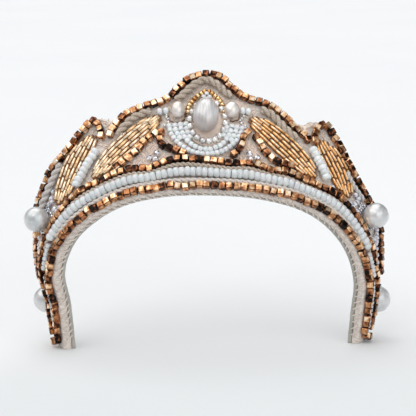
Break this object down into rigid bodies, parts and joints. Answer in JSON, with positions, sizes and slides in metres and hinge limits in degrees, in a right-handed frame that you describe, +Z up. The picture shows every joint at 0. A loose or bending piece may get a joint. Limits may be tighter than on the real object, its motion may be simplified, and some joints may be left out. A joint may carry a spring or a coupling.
{
  "type": "kokoshnik headdress",
  "caption": "Beaded kokoshnik headdress: an arched felt band with a pointed crest, ears and legs, sewn with copper rows, bugle leaves, a pearl medallion and side pearls.",
  "frame": {"origin": "bottom centre of the bounding box, on the surface that the two legs stand on", "axes": "+X to the right of the face as it is seen from the front, -Y out of the decorated face, +Z up"},
  "size_m": [0.171, 0.0468, 0.1269],
  "materials": {
    "felt": "matte padded felt",
    "leather": "smooth matte",
    "copper": "polished copper-coated cube beads",
    "gold": "silver-lined glass tubes",
    "white": "glossy opaque glass beads",
    "silver": "tiny silvered beads and crystals",
    "pearl": "pearl lustre",
    "cord": "twisted thread cord"
  },
  "bodies": {
    "root": {"felt_shell": "felt", "leather_lining": "leather", "lower_row": "copper", "middle_row": "copper", "crest_row": "copper", "ear_row_left": "copper", "ear_row_right": "copper", "corner_row_left": "copper", "corner_row_right": "copper", "fan_row_left": "copper", "fan_row_right": "copper", "arch_row": "white", "panel_row_left": "white", "panel_row_right": "white", "scallop": "white", "crest_cord_left": "cord", "crest_cord_centre": "cord", "crest_cord_right": "cord", "ear_cord_left": "cord", "ear_cord_right": "cord", "inner_fan_left": "gold", "inner_fan_right": "gold", "outer_fan_left": "gold", "outer_fan_right": "gold", "medallion_bezel": "silver", "centre_pearl": "pearl", "small_pearl_left": "pearl", "round_bead_left_1": "white", "crystal_left_1": "silver", "round_bead_left_2": "white", "crystal_left_2": "silver", "side_pearl_upper_left": "pearl", "pearl_ring_left": "silver", "side_pearl_lower_left": "pearl", "crystal_leg_left": "silver", "small_pearl_right": "pearl", "round_bead_right_1": "white", "crystal_right_1": "silver", "round_bead_right_2": "white", "crystal_right_2": "silver", "side_pearl_upper_right": "pearl", "pearl_ring_right": "silver", "side_pearl_lower_right": "pearl", "crystal_leg_right": "silver"}
  },
  "joints": []
}
